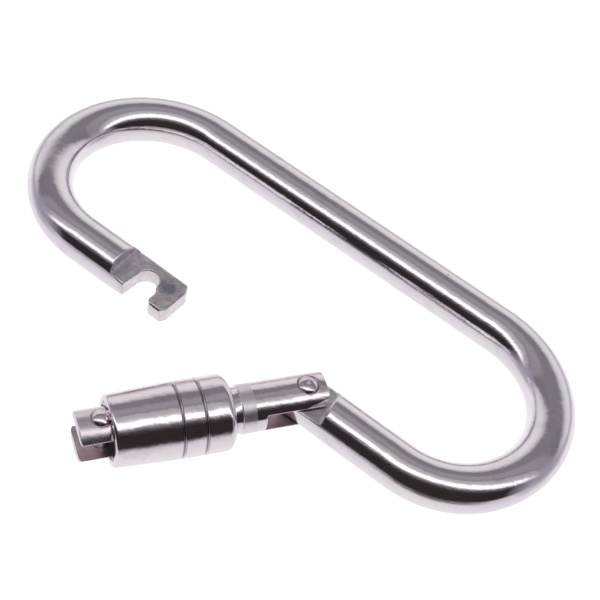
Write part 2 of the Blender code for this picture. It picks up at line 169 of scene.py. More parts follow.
# ---- lock sleeve and what it holds ----
SLEEVE_SIDES = 128
SLEEVE_REAR = 13.1
SLEEVE_FRONT = 32.5
SLEEVE_R = 6.2
SLEEVE_MOUTH_R = 5.8
SLEEVE_TAPER_START = 22.6
SLEEVE_REAR_ROUND = 1.2
SLEEVE_REAR_SWEEP = 78
SLEEVE_MOUTH_ROUND = 0.55
GRIP_RINGS = (18.0, 21.7)
GRIP_RING_HALF = 0.3
GRIP_RING_DEPTH = 0.3
RING_LIP = 0.04
GRIP_RING_STEPS = 12
MOUTH_BORE_R = 4.72
MOUTH_CHAMFER = 0.15
LAND = (30.1, 31.8)
LAND_R = 4.15
CHAMBER_R = 5.25
CHAMBER_CHAMFER = 0.13
BORE_CHAMFER = 0.04
BUSH = (13.4, 14.9)
BUSH_R = 5.2
BUSH_BORE_R = 4.12
BUSH_EDGE = 0.15
RING = (16.25, 16.75)
RING_R = 4.9
RING_BORE_R = 3.55
RING_MOUTH = 4.4
SEAT_WASHER = (17.0, 17.5)
THRUST_WASHER = (29.45, 29.95)
WASHER_R = 5.1
WASHER_BORE_R = 4.15
RING_EDGE = 0.08
SPRING_R = 4.65
SPRING_WIRE_R = 0.3
SPRING = (17.85, 29.05)
SPRING_TURNS = 9
SPRING_STEPS = 48
SPRING_COIL_GAP = 0.02
WIRE_SIDES = 14

# How far cutters reach past the metal.
OVERCUT = 3.0

# Corners sharper than the first angle are rounded, and shading breaks at the others, in degrees.
WORN_ANGLE = 32
MILLED_SHADING_ANGLE = 42
RIVET_SHADING_ANGLE = 40
TURNED_SHADING_ANGLE = 38

# ---- the two frames that the pieces are drawn in ----
joints = {joint["name"]: joint for joint in frame["joints"]}
rivet_low, rivet_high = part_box("hinge_rivet")
PIVOT = (rivet_low + rivet_high) / 2
GATE_DIRECTION = Vector(joints["sleeve_spin"]["axis"])
HOOK_PLACE = Matrix.Translation(PIVOT - Vector((PIVOT_X, LEG_Y, 0.0)) * MM)
GATE_PLACE = Matrix.Translation(PIVOT) @ Matrix.Rotation(
    math.atan2(GATE_DIRECTION.y, GATE_DIRECTION.x), 4, "Z"
)


# ---- mesh helpers ----


def new_object(name, work, place, material):
    """An object from a bmesh drawn in millimetres, its faces turned outward and smooth."""
    bmesh.ops.recalc_face_normals(work, faces=work.faces)
    bmesh.ops.scale(work, vec=(MM, MM, MM), verts=work.verts)
    mesh = bpy.data.meshes.new(name)
    work.to_mesh(mesh)
    work.free()
    mesh.materials.append(material)
    mesh.shade_smooth()
    obj = bpy.data.objects.new(name, mesh)
    bpy.context.scene.collection.objects.link(obj)
    obj.matrix_world = place
    return obj


def arc(centre, radius, start, end, steps):
    """Points on an arc, angles in degrees, both ends included."""
    points = []
    for i in range(steps + 1):
        angle = math.radians(start + (end - start) * i / steps)
        points.append((centre[0] + radius * math.cos(angle), centre[1] + radius * math.sin(angle)))
    return points


def prism(name, outline, half, place, material):
    """A flat plate with the given plan outline, half as thick each way."""
    work = bmesh.new()
    low = [work.verts.new((x, y, -half)) for x, y in outline]
    high = [work.verts.new((x, y, half)) for x, y in outline]
    work.faces.new(low)
    work.faces.new(high)
    for i in range(len(outline)):
        j = (i + 1) % len(outline)
        work.faces.new((low[i], low[j], high[j], high[i]))
    return new_object(name, work, place, material)


def section_angles(sides, low, high):
    """Angles round a bar's section, none of them where its edges will be rounded.

    low and high bound the heights over the middle that stay clear, on both sides of it.
    """
    angles = [2 * math.pi * (k + 0.5) / sides for k in range(sides)]
    return [angle for angle in angles if not low < BAR_R * abs(math.sin(angle)) < high]


def even_angles(sides):
    """Angles that divide a full turn evenly."""
    return [2 * math.pi * k / sides for k in range(sides)]


def lathe(name, profile, angles, place, material, closed=False):
    """A turned solid from (radius, height) pairs, spun about its own Z."""
    work = bmesh.new()
    sides = len(angles)
    rings = []
    for radius, height in profile:
        if radius < 1e-6:
            rings.append([work.verts.new((0.0, 0.0, height))] * sides)
            continue
        ring = []
        for angle in angles:
            ring.append(work.verts.new((radius * math.cos(angle), radius * math.sin(angle), height)))
        rings.append(ring)
    pairs = list(zip(rings, rings[1:]))
    if closed:
        pairs.append((rings[-1], rings[0]))
    for first, second in pairs:
        for k in range(sides):
            j = (k + 1) % sides
            corners = dict.fromkeys((first[k], first[j], second[j], second[k]))
            if len(corners) > 2:
                work.faces.new(corners)
    return new_object(name, work, place, material)


def swept(name, rings, place, material):
    """A closed tube through rings of points."""
    work = bmesh.new()
    loops = [[work.verts.new(point) for point in ring] for ring in rings]
    count = len(loops[0])
    for first, second in zip(loops, loops[1:]):
        for k in range(count):
            j = (k + 1) % count
            work.faces.new((first[k], first[j], second[j], second[k]))
    work.faces.new(loops[0])
    work.faces.new(loops[-1])
    return new_object(name, work, place, material)


def apply_modifiers(obj):
    """Replace the piece's mesh with what its modifiers make of it."""
    bpy.context.view_layer.update()
    graph = bpy.context.evaluated_depsgraph_get()
    mesh = bpy.data.meshes.new_from_object(
        obj.evaluated_get(graph), preserve_all_data_layers=True, depsgraph=graph
    )
    obj.modifiers.clear()
    obj.data = mesh


def cut(target, *cutters):
    """Subtract the cutters; the cut faces take the cutters' materials."""
    for cutter in cutters:
        modifier = target.modifiers.new(cutter.name, "BOOLEAN")
        modifier.operation = "DIFFERENCE"
        modifier.solver = "EXACT"
        modifier.material_mode = "TRANSFER"
        modifier.object = cutter
    apply_modifiers(target)
    for cutter in cutters:
        bpy.data.objects.remove(cutter, do_unlink=True)


def soften_edges(obj, width, share):
    """Round the sharp edges as tumbling and handling do.

    share(x, y, z) is the part of the width that the edges get at a place in the piece's own
    millimetres. It is 0 in the tight corners that a full round would fold over.
    """
    work = bmesh.new()
    work.from_mesh(obj.data)
    weights = work.edges.layers.float.new("bevel_weight_edge")
    for edge in work.edges:
        if edge.calc_face_angle(0.0) > math.radians(WORN_ANGLE):
            edge[weights] = share(*((edge.verts[0].co + edge.verts[1].co) / 2 / MM))
    work.to_mesh(obj.data)
    work.free()
    bevel = obj.modifiers.new("Worn edges", "BEVEL")
    bevel.width = width * MM
    bevel.segments = 3
    bevel.limit_method = "WEIGHT"
    bevel.use_clamp_overlap = False
    bevel.miter_outer = "MITER_ARC"
    apply_modifiers(obj)


def break_shading(obj, degrees):
    """Shade the piece smooth except across corners sharper than this."""
    obj.data.set_sharp_from_angle(angle=math.radians(degrees))


def even_shading(obj):
    """Keep the wide faces flat and the rounded edges smooth in the shading."""
    break_shading(obj, MILLED_SHADING_ANGLE)
    normals = obj.modifiers.new("Flat faces", "WEIGHTED_NORMAL")
    normals.weight = 60
    normals.keep_sharp = True
    apply_modifiers(obj)


def finished(obj, body, node):
    """Make a piece ride on its body and stand for its CAD node, which it hides."""
    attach(obj, body)
    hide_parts(node)


# ---- materials ----


def add(tree, kind, inputs=None, **settings):
    node = tree.nodes.new(kind)
    for key, value in settings.items():
        setattr(node, key, value)
    for key, value in (inputs or {}).items():
        if isinstance(value, bpy.types.NodeSocket):
            tree.links.new(value, node.inputs[key])
        else:
            node.inputs[key].default_value = value
    return node


def noise(tree, coords, scale, detail=3.0, stretch=(1.0, 1.0, 1.0), turn=(0.0, 0.0, 0.0)):
    """Noise value over the piece; stretch below 1 draws the grain out along that axis."""
    mapping = add(tree, "ShaderNodeMapping", {"Vector": coords, "Scale": stretch, "Rotation": turn})
    texture = add(
        tree, "ShaderNodeTexNoise",
        {"Vector": mapping.outputs["Vector"], "Scale": scale, "Detail": detail, "Roughness": 0.55},
    )
    return texture.outputs["Fac"]


def remap(tree, value, low, high, to_low, to_high):
    node = add(
        tree, "ShaderNodeMapRange",
        {"Value": value, "From Min": low, "From Max": high, "To Min": to_low, "To Max": to_high},
    )
    return node.outputs["Result"]


def math_node(tree, operation, first, second):
    return add(tree, "ShaderNodeMath", {0: first, 1: second}, operation=operation).outputs[0]


def absolute(tree, value):
    return add(tree, "ShaderNodeMath", {0: value}, operation="ABSOLUTE").outputs[0]


def bump(tree, height, distance, normal=None):
    inputs = {"Height": height, "Distance": distance, "Strength": 1.0}
    if normal is not None:
        inputs["Normal"] = normal
    return add(tree, "ShaderNodeBump", inputs).outputs["Normal"]


def mix_colour(tree, factor, first, second):
    node = add(tree, "ShaderNodeMix", data_type="RGBA")
    for name, value in (("Factor_Float", factor), ("A_Color", first), ("B_Color", second)):
        socket = next(item for item in node.inputs if item.identifier == name)
        if isinstance(value, bpy.types.NodeSocket):
            tree.links.new(value, socket)
        else:
            socket.default_value = value
    return next(item for item in node.outputs if item.identifier == "Result_Color")


# How fine each kind of detail on the steel is: the higher the scale, the smaller the detail.
SMUDGE_SCALE = 130.0
BLOTCH_SCALE = 420.0
PIT_SCALE = 260.0
STAIN_RIM_SCALE = 900.0
MOTTLE_SCALE = 1100.0
WAVE_SCALE = 330.0
GRAIN_SCALE = 3600.0
SCRATCH_SCALE = 2600.0
# The scratches' stretch where a steel has no lay of its own, and the turns of their two sets.
SCRATCH_STRETCH = (0.06, 1.0, 1.0)
SCRATCH_TURNS = ((0.0, 0.0, 0.3), (0.0, 0.2, -0.5))
PIT_DEPTH = 0.02
PIT_SHADE = 0.35
STAIN_RAGGED = 0.5
STAIN_BLUE = (0.30, 0.32, 0.40)
# Painted shade: the dark colour laid along the grip grooves, where a recess would be darker.
GROOVE_SHADE = (0.16, 0.12, 0.14)


def pits_mask(tree, coords, share):
    """1 inside small round pits, which that share of a cell pattern's cells hold."""
    cells = add(
        tree, "ShaderNodeTexVoronoi", {"Vector": coords, "Scale": PIT_SCALE, "Randomness": 1.0}
    )
    holes = remap(tree, cells.outputs["Distance"], 0.035, 0.075, 1.0, 0.0)
    pick = add(tree, "ShaderNodeSeparateColor", {"Color": cells.outputs["Color"]}).outputs["Red"]
    return math_node(tree, "MULTIPLY", holes, math_node(tree, "LESS_THAN", pick, share))


def with_spot(tree, coords, colour, middle, radius):
    """The colour with one stain of ragged outline, placed and sized in millimetres."""
    middle = tuple(MM * value for value in middle)
    away = add(tree, "ShaderNodeVectorMath", {0: coords, 1: middle}, operation="DISTANCE")
    ragged = STAIN_RAGGED * MM
    rim = remap(tree, noise(tree, coords, STAIN_RIM_SCALE, 4.0), 0.3, 0.7, -ragged, ragged)
    reach = math_node(tree, "ADD", away.outputs["Value"], rim)
    patch = remap(tree, reach, 0.35 * radius * MM, radius * MM, 0.85, 0.0)
    return mix_colour(tree, patch, colour, (*STAIN_BLUE, 1.0))


def with_groove_shade(tree, height, colour, centre):
    """The colour with a thin dark line of painted shade along the grip groove at that height."""
    off = absolute(tree, math_node(tree, "SUBTRACT", height, centre * MM))
    painted_shade = remap(tree, off, 0.15 * GRIP_RING_HALF * MM, GRIP_RING_HALF * MM, 0.85, 0.0)
    return mix_colour(tree, painted_shade, colour, (*GROOVE_SHADE, 1.0))


def steel(
    name, colour, dull, rough, waves=0.014, grain=0.03, scratch=0.007, pits=0.25, stretch=None,
    mottle=0.0, spot=None, worn=None, shaded_grooves=(),
):
    """Stainless steel with smudges, polishing waves, fine grain, hairline scratches and pits.

    colour and dull are the clean and the stained tint, rough the roughness clean and smudged.
    waves, grain and scratch are slopes of the surface; pits is the share of cells that hold one.
    mottle is how far the colour and the gloss vary in patches under a millimetre wide.
    spot is the middle and the radius of one larger stain, in the piece's own millimetres.
    worn is where along the piece's own Z it grows duller, from and to, and by how much.
    The last argument lists the places along Z of turned grooves that get a thin dark line of painted
    shade.
    """
    material = bpy.data.materials.new(name)
    material.use_nodes = True
    tree = material.node_tree
    shader = tree.nodes["Principled BSDF"]
    shader.inputs["Metallic"].default_value = 1.0
    coords = add(tree, "ShaderNodeTexCoord").outputs["Object"]
    height = add(tree, "ShaderNodeSeparateXYZ", {0: coords}).outputs["Z"]

    smudge = remap(tree, noise(tree, coords, SMUDGE_SCALE, 5.0), 0.42, 0.68, 0.0, 1.0)
    blotch = remap(tree, noise(tree, coords, BLOTCH_SCALE, 6.0), 0.5, 0.75, 0.0, 1.0)
    stain = math_node(tree, "MULTIPLY", smudge, blotch)
    hole = pits_mask(tree, coords, pits)

    speckle = noise(tree, coords, MOTTLE_SCALE, 5.0)
    patches = remap(tree, speckle, 0.36, 0.66, 1.0 - mottle, 1.0 + mottle)
    tinted = mix_colour(tree, stain, (*colour, 1.0), (*dull, 1.0))
    varied = add(tree, "ShaderNodeVectorMath", {0: tinted, "Scale": patches}, operation="SCALE")
    tinted = varied.outputs["Vector"]
    if spot is not None:
        tinted = with_spot(tree, coords, tinted, *spot)
    # Painted shade: a thin dark line along each turned groove.
    for centre in shaded_grooves:
        tinted = with_groove_shade(tree, height, tinted, centre)
    dark_hole = tuple(PIT_SHADE * value for value in dull)
    tinted = mix_colour(tree, hole, tinted, (*dark_hole, 1.0))
    tree.links.new(tinted, shader.inputs["Base Color"])

    roughness = remap(tree, math_node(tree, "ADD", smudge, stain), 0.0, 2.0, rough[0], rough[1])
    roughness = math_node(tree, "MULTIPLY", roughness, patches)
    if worn is not None:
        start, end, extra = worn
        wear = remap(tree, height, start * MM, end * MM, 0.0, extra)
        roughness = math_node(tree, "ADD", roughness, wear)
    tree.links.new(roughness, shader.inputs["Roughness"])

    normal = bump(tree, noise(tree, coords, WAVE_SCALE, 2.0), waves / WAVE_SCALE)
    normal = bump(tree, noise(tree, coords, GRAIN_SCALE, 2.0), grain / GRAIN_SCALE, normal)
    for turn in SCRATCH_TURNS:
        lines = noise(tree, coords, SCRATCH_SCALE, 1.0, stretch or SCRATCH_STRETCH, turn)
        line = remap(tree, lines, 0.66, 0.74, 0.0, 1.0)
        normal = bump(tree, line, -scratch / SCRATCH_SCALE, normal)
    normal = bump(tree, hole, -PIT_DEPTH * MM, normal)
    tree.links.new(normal, shader.inputs["Normal"])
    return material


POLISHED = steel("polished_bar", (0.94, 0.88, 0.93), (0.74, 0.68, 0.73), (0.035, 0.08))
GATE = steel(
    "polished_gate", (0.95, 0.86, 0.91), (0.74, 0.64, 0.69), (0.07, 0.14), waves=0.03,
    mottle=0.03, worn=(SLEEVE_FRONT - 2.0, SLEEVE_FRONT + 1.5, 0.2),
)
SATIN = steel(
    "satin_band", (0.94, 0.87, 0.91), (0.74, 0.67, 0.71), (0.34, 0.46), grain=0.08, pits=0.0,
    stretch=(1.0, 0.1, 0.1),
)
SLEEVE = steel(
    "polished_sleeve", (0.95, 0.865, 0.915), (0.76, 0.68, 0.73), (0.04, 0.08), waves=0.022,
    # The grip grooves get a painted line of shade.
    shaded_grooves=GRIP_RINGS,
)
MILLED = steel(
    "milled_flats", (0.80, 0.75, 0.79), (0.50, 0.47, 0.52), (0.3, 0.44),
    waves=0.07, grain=0.1, scratch=0.02, pits=0.7, stretch=(1.0, 0.08, 1.0), mottle=0.1,
    spot=((NOTCH_X + 3.6, LEG_Y + 0.9, NOSE_TANG_HALF), 2.1),
)
NOTCHED = steel(
    "notched_faces", (0.88, 0.81, 0.85), (0.52, 0.45, 0.48), (0.2, 0.36),
    waves=0.08, grain=0.1, scratch=0.02, pits=0.7, mottle=0.09,
)
SLOT_STEEL = steel(
    "slotted_faces", (0.72, 0.61, 0.64), (0.40, 0.33, 0.35), (0.34, 0.5),
    waves=0.03, grain=0.08, pits=0.3, stretch=(0.08, 1.0, 1.0), mottle=0.07,
)
RIVET = steel(
    "peened_rivet", (0.88, 0.79, 0.84), (0.50, 0.43, 0.47), (0.1, 0.2), waves=0.05, mottle=0.08,
)
LATCH = steel(
    "domed_rivet", (0.94, 0.85, 0.90), (0.62, 0.55, 0.59), (0.1, 0.18), waves=0.03, mottle=0.04,
)
BUSH_STEEL = steel("turned_bush", (0.72, 0.66, 0.69), (0.48, 0.43, 0.46), (0.22, 0.34))
DULL = steel("stamped_ring", (0.66, 0.62, 0.64), (0.44, 0.40, 0.42), (0.28, 0.4))
WIRE = steel("spring_wire", (0.70, 0.66, 0.66), (0.46, 0.42, 0.42), (0.2, 0.3))


# ---- hook body ----


def bend(start, heading, turn, radii):
    """Centreline points of a bend made of arcs of equal sweep, its start left out."""
    points = []
    x, y = start
    sweep = turn / len(radii)
    side = math.copysign(1.0, turn)
    for radius in radii:
        centre_x = x - side * radius * math.sin(heading)
        centre_y = y + side * radius * math.cos(heading)
        for i in range(1, BEND_STEPS + 1):
            angle = heading + sweep * i / BEND_STEPS
            points.append(
                (centre_x + side * radius * math.sin(angle), centre_y - side * radius * math.cos(angle))
            )
        heading += sweep
        x, y = points[-1]
    return points


def bar_rings():
    """Sections of the bar, from the nose tip round the back to the hinge end."""
    nose = bend((0.0, 0.0), math.pi, math.pi, NOSE_BEND_RADII)
    hinge = bend((BACK_LENGTH, 0.0), 0.0, -math.pi, HINGE_BEND_RADII)
    tip = (NOTCH_X + NOSE_TIP_REACH + OVERCUT, nose[-1][1])
    tail = (PIVOT_X - HINGE_TANG_R - OVERCUT, hinge[-1][1])
    path = [tip, *reversed(nose), (0.0, 0.0), (BACK_LENGTH, 0.0), *hinge, tail]
    angles = section_angles(BAR_SIDES, NOSE_TANG_HALF - 1.1 * HOOK_EDGE, NOSE_TANG_HALF)
    rings = []
    for i, (x, y) in enumerate(path):
        before = Vector(path[max(i - 1, 0)])
        after = Vector(path[min(i + 1, len(path) - 1)])
        heading = (after - before).normalized()
        ring = []
        for angle in angles:
            across = BAR_R * math.cos(angle)
            ring.append((x - heading.y * across, y + heading.x * across, BAR_R * math.sin(angle)))
        rings.append(ring)
    return rings


def tang_stock(name, half, reach, place, turn):
    """The metal milled off both faces of a tang; turn points the outline's +X at the shoulder."""
    far = BAR_R * 4
    top = BAR_R + OVERCUT
    cutters = []
    for side, sign in (("top", 1), ("bottom", -1)):
        rise = arc((reach, half + TANG_RAMP), TANG_RAMP, -90, 0, 10)
        outline = [(-far, half), *rise, (reach + TANG_RAMP, top), (-far, top)]
        outline = [(x, sign * z) for x, z in outline]
        stand = place @ Matrix.Rotation(turn, 4, "Z") @ Matrix.Rotation(math.pi / 2, 4, "X")
        cutters.append(prism(f"{name}_{side}", outline, BAR_R + OVERCUT, stand, MILLED))
    return cutters


def tip_outline(length, half_width, lower_round, upper_round, runout, clear):
    """Plan outline of the stock outside a squared end whose two corners are rounded.

    Each rounding stops short and runs out straight, at the angle runout to the bar's side.
    """
    lower = arc(
        (length - lower_round, lower_round - half_width), lower_round, runout - 90, 0, 6
    )
    upper = arc(
        (length - upper_round, half_width - upper_round), upper_round, 0, 90 - runout, 6
    )
    slope = math.tan(math.radians(runout))
    return [
        (upper[-1][0] - (clear - upper[-1][1]) / slope, clear),
        (length + clear, clear),
        (length + clear, -clear),
        (lower[0][0] - (clear + lower[0][1]) / slope, -clear),
        *lower,
        *upper,
    ]


def notch_outline():
    """Plan outline of the U notch, open towards -Y, its round end on the latch position."""
    mouth_y = -(BAR_R + OVERCUT)
    return [
        (-NOTCH_R - NOTCH_HEEL_FLARE, mouth_y),
        (-NOTCH_R - NOTCH_HEEL_FLARE, -BAR_R),
        *arc((0.0, 0.0), NOTCH_R, 180, 0, 28),
        FINGER_WAIST,
        FINGER_SIDE,
        FINGER_CORNER,
        (FINGER_CORNER[0] + (FINGER_CORNER[1] - mouth_y) * FINGER_RUNOUT, mouth_y),
    ]


def hook_edge_share(x, y, z):
    """Full width everywhere except at the feet of the tangs' shoulders."""
    at_side = abs(y - LEG_Y) >= FOOT_SIDE and abs(z) >= NOSE_TANG_HALF - FOOT_DEPTH
    nose_foot = abs(x - (NOTCH_X - NOSE_TANG_REACH - FOOT_RISE)) < NOSE_FOOT_HALF
    hinge_foot = abs(x - (PIVOT_X + HINGE_TANG_REACH + FOOT_RISE)) < HINGE_FOOT_HALF
    return 0.0 if at_side and (nose_foot or hinge_foot) else 1.0


def hook_body():
    body = swept("bent_bar_hook", bar_rings(), HOOK_PLACE, POLISHED)
    at_notch = HOOK_PLACE @ Matrix.Translation(Vector((NOTCH_X, LEG_Y, 0.0)) * MM)
    at_pivot = HOOK_PLACE @ Matrix.Translation(Vector((PIVOT_X, LEG_Y, 0.0)) * MM)
    clear = BAR_R + OVERCUT
    tip = tip_outline(
        NOSE_TIP_REACH, BAR_R - CORNER_INSET, NOSE_OUTER_ROUND, NOSE_INNER_ROUND, NOSE_RUNOUT,
        clear,
    )
    runout = math.radians(TAIL_RUNOUT)
    flare = clear / math.tan(runout)
    aside = HINGE_TANG_R / math.cos(runout) + clear
    end = [
        (flare, aside),
        (-clear - BAR_R, aside),
        (-clear - BAR_R, -aside),
        (flare, -aside),
        *arc((0.0, 0.0), HINGE_TANG_R, 270 - TAIL_RUNOUT, 90 + TAIL_RUNOUT, 36),
    ]
    drill = [(0.0, clear), (BORE_R, clear), (BORE_R, -clear), (0.0, -clear)]
    cut(
        body,
        *tang_stock("nose_stock", NOSE_TANG_HALF, NOSE_TANG_REACH, at_notch, math.pi),
        *tang_stock("hinge_stock", HINGE_TANG_HALF, HINGE_TANG_REACH, at_pivot, HINGE_SHOULDER_SLANT),
        prism("tip_stock", tip, clear, at_notch, NOTCHED),
        prism("notch_stock", notch_outline(), clear, at_notch, NOTCHED),
        prism("end_stock", end, clear, at_pivot, POLISHED),
        lathe("tang_drill", drill, even_angles(RIVET_SIDES), at_pivot, MILLED),
    )
    soften_edges(body, HOOK_EDGE, hook_edge_share)
    even_shading(body)
    finished(body, "hook", "hook_body")


# ---- gate ----

ALONG_GATE = GATE_PLACE @ Matrix.Rotation(math.pi / 2, 4, "Y")


def mirrored_profile(upper):
    """A profile that is alike above and below its middle, from the points of its upper half."""
    return upper + [(r, -z) for r, z in reversed(upper)]


def gate_edge_share(_, across, station):
    """Narrow on the turned steps and none in the sharp tips of the prongs."""
    if NECK_START - STEP_MARGIN < station < RING_GROOVE[1] + STEP_MARGIN:
        return STEP_SHARE
    front_tip = station > GATE_FRONT - FRONT_TIP_LENGTH and abs(across) > FRONT_TIP_SIDE
    rear_tip = station < GATE_REAR + REAR_TIP_LENGTH and abs(across) > REAR_TIP_SIDE
    return 0.0 if front_tip or rear_tip else 1.0


def gate_profile():
    """Half section of the gate's bar: the neck, the ring's groove and room for the end cuts."""
    return [
        (0.0, GATE_FRONT + OVERCUT),
        (BAR_R, GATE_FRONT + OVERCUT),
        (BAR_R, RING_GROOVE[1]),
        (RING_GROOVE_R, RING_GROOVE[1]),
        (RING_GROOVE_R, RING_GROOVE[0]),
        (BAR_R, RING_GROOVE[0]),
        (BAR_R, NECK_END + NECK_STEP),
        (NECK_R, NECK_END),
        (NECK_R, NECK_START + NECK_STEP),
        (BAR_R, NECK_START),
        (BAR_R, SATIN_START),
        (BAR_R, GATE_REAR - OVERCUT),
        (0.0, GATE_REAR - OVERCUT),
    ]


def slot_stock(name, start, end, half):
    """The metal between two prongs, from station to station."""
    upright = GATE_PLACE @ Matrix.Rotation(math.pi / 2, 4, "X")
    outline = [(start, -half), (end, -half), (end, half), (start, half)]
    return prism(name, outline, BAR_R + 2 * OVERCUT, upright, SLOT_STEEL)


def seat_drill(reach, seat_z, seat_r):
    """A rivet's bore with a wider seat for the head at each end."""
    clear = BAR_R + 2 * OVERCUT
    drill = mirrored_profile([(0.0, clear), (seat_r, clear), (seat_r, seat_z), (BORE_R, seat_z)])
    at = GATE_PLACE @ Matrix.Translation((reach * MM, 0.0, 0.0))
    return lathe("seat_drill", drill, even_angles(RIVET_SIDES), at, GATE)


def gate_bar():
    plain = section_angles(GATE_SIDES, REAR_SLOT_HALF - 0.02, FRONT_SLOT_HALF + 1.1 * GATE_EDGE)
    angles = [angle + math.pi / 2 for angle in plain]
    bar = lathe("fork_gate", gate_profile(), angles, ALONG_GATE, GATE)
    bar.data.materials.append(SATIN)
    for polygon in bar.data.polygons:
        if SATIN_START < polygon.center.z / MM < NECK_START:
            polygon.material_index = 1
    clear = BAR_R + 2 * OVERCUT
    width = BAR_R - CORNER_INSET
    nose = tip_outline(GATE_FRONT, width, FRONT_CORNER_R, FRONT_CORNER_R, PRONG_RUNOUT, clear)
    tail = tip_outline(-GATE_REAR, width, REAR_CORNER_R, REAR_CORNER_R, PRONG_RUNOUT, clear)
    about = GATE_PLACE @ Matrix.Rotation(math.pi, 4, "Z")
    cut(
        bar,
        slot_stock("front_slot", FRONT_SLOT_FLOOR, GATE_FRONT + clear, FRONT_SLOT_HALF),
        slot_stock("rear_slot", GATE_REAR - clear, REAR_SLOT_FLOOR, REAR_SLOT_HALF),
        prism("front_corners", nose, clear, GATE_PLACE, GATE),
        prism("rear_corners", tail, clear, about, GATE),
    )
    soften_edges(bar, GATE_EDGE, gate_edge_share)
    cut(
        bar,
        seat_drill(LATCH_REACH, LATCH_SEAT_Z, LATCH_SEAT_R),
        seat_drill(0.0, HINGE_SEAT_Z, HINGE_SEAT_R),
    )
    even_shading(bar)
    finished(bar, "gate", "gate_bar")


def rivet(name, upper, reach, body, node, material):
    """A rivet through the gate at a station, alike at both ends, from its upper half."""
    at = GATE_PLACE @ Matrix.Translation((reach * MM, 0.0, 0.0))
    piece = lathe(name, mirrored_profile(upper), even_angles(RIVET_SIDES), at, material)
    break_shading(piece, RIVET_SHADING_ANGLE)
    finished(piece, body, node)


def latch_rivet():
    seat = LATCH_SEAT_Z + HEAD_GAP
    rise = LATCH_HEAD_TOP - LATCH_DOME_Z
    ball = (LATCH_HEAD_R**2 + rise**2) / (2 * rise)
    reach = math.asin(LATCH_HEAD_R / ball)
    dome = []
    for i in range(DOME_STEPS + 1):
        angle = reach * i / DOME_STEPS
        dome.append((ball * math.sin(angle), LATCH_HEAD_TOP - ball * (1 - math.cos(angle))))
    upper = [*dome, (LATCH_HEAD_R, seat), (SHANK_R, seat)]
    rivet("domed_latch_rivet", upper, LATCH_REACH, "gate", "latch_rivet", LATCH)


def hinge_rivet():
    seat = HINGE_SEAT_Z + HEAD_GAP
    upper = []
    for i in range(DIMPLE_STEPS + 1):
        share = i / DIMPLE_STEPS
        depth = HINGE_DIMPLE_DEPTH * (0.5 + 0.5 * math.cos(math.pi * share))
        upper.append((HINGE_DIMPLE_R * share, HINGE_HEAD_TOP - depth))
    radius, height = upper[-1]
    for slope, width in HINGE_HEAD_SLOPES:
        radius += width
        height -= width * math.tan(math.radians(slope))
        upper.append((radius, height))
    upper += [(radius, seat), (SHANK_R, seat)]
    rivet("flat_hinge_rivet", upper, 0.0, "pivot", "hinge_rivet", RIVET)


# ---- lock sleeve and its inside ----


def along_line(start, end, steps):
    """Points spaced along a straight line, crowded towards both ends, its start left out."""
    points = []
    for i in range(1, steps + 1):
        share = 0.5 - 0.5 * math.cos(math.pi * i / steps)
        points.append(
            (start[0] + (end[0] - start[0]) * share, start[1] + (end[1] - start[1]) * share)
        )
    return points


def sleeve_profile():
    """Closed section of the sleeve: outside from the mouth to the rear, then back inside."""
    mouth = arc(
        (SLEEVE_MOUTH_R - SLEEVE_MOUTH_ROUND, SLEEVE_FRONT - SLEEVE_MOUTH_ROUND),
        SLEEVE_MOUTH_ROUND, 90, 0, 12,
    )
    taper = along_line(mouth[-1], (SLEEVE_R, SLEEVE_TAPER_START), 24)
    rings = []
    last = taper[-1]
    for centre in reversed(GRIP_RINGS):
        rings += along_line(last, (SLEEVE_R, centre + GRIP_RING_HALF + RING_LIP), 8)
        for i in range(GRIP_RING_STEPS + 1):
            angle = math.pi * i / GRIP_RING_STEPS
            depth = GRIP_RING_DEPTH * math.sin(angle)
            rings.append((SLEEVE_R - depth, centre + GRIP_RING_HALF * math.cos(angle)))
        last = (SLEEVE_R, centre - GRIP_RING_HALF - RING_LIP)
        rings.append(last)
    rear = arc(
        (SLEEVE_R - SLEEVE_REAR_ROUND, SLEEVE_REAR + SLEEVE_REAR_ROUND),
        SLEEVE_REAR_ROUND, 0, -SLEEVE_REAR_SWEEP, 16,
    )
    rear = along_line(last, rear[0], 6) + rear[1:]
    inside = [
        (CHAMBER_R + CHAMBER_CHAMFER, SLEEVE_REAR),
        (CHAMBER_R, SLEEVE_REAR + CHAMBER_CHAMFER),
        (CHAMBER_R, LAND[0]),
        (LAND_R, LAND[0]),
        (LAND_R, LAND[1]),
        (MOUTH_BORE_R, LAND[1]),
        (MOUTH_BORE_R, SLEEVE_FRONT - MOUTH_CHAMFER),
        (MOUTH_BORE_R + MOUTH_CHAMFER, SLEEVE_FRONT),
    ]
    return mouth + taper + rings + rear + inside


def ring_profile(bore, radius, rear, front, edge):
    """Section of a plain ring with its outer edges rounded."""
    return [
        *arc((radius - edge, front - edge), edge, 90, 0, 5),
        *arc((radius - edge, rear + edge), edge, 0, -90, 5),
        (bore + BORE_CHAMFER, rear),
        (bore, rear + BORE_CHAMFER),
        (bore, front - BORE_CHAMFER),
        (bore + BORE_CHAMFER, front),
    ]


def turned_pieces():
    """The sleeve, the bush in its rear end and the two washers."""
    bush = ring_profile(BUSH_BORE_R, BUSH_R, *BUSH, BUSH_EDGE)
    seat = ring_profile(WASHER_BORE_R, WASHER_R, *SEAT_WASHER, RING_EDGE)
    thrust = ring_profile(WASHER_BORE_R, WASHER_R, *THRUST_WASHER, RING_EDGE)
    for name, profile, body, node, material in (
        ("grip_sleeve", sleeve_profile(), "sleeve", "lock_sleeve", SLEEVE),
        ("end_bush_ring", bush, "sleeve", "sleeve_end_bush", BUSH_STEEL),
        ("seat_washer_ring", seat, "gate", "spring_seat_washer", DULL),
        ("thrust_washer_ring", thrust, "carrier", "spring_thrust_washer", DULL),
    ):
        piece = lathe(name, profile, even_angles(SLEEVE_SIDES), ALONG_GATE, material, closed=True)
        break_shading(piece, TURNED_SHADING_ANGLE)
        finished(piece, body, node)


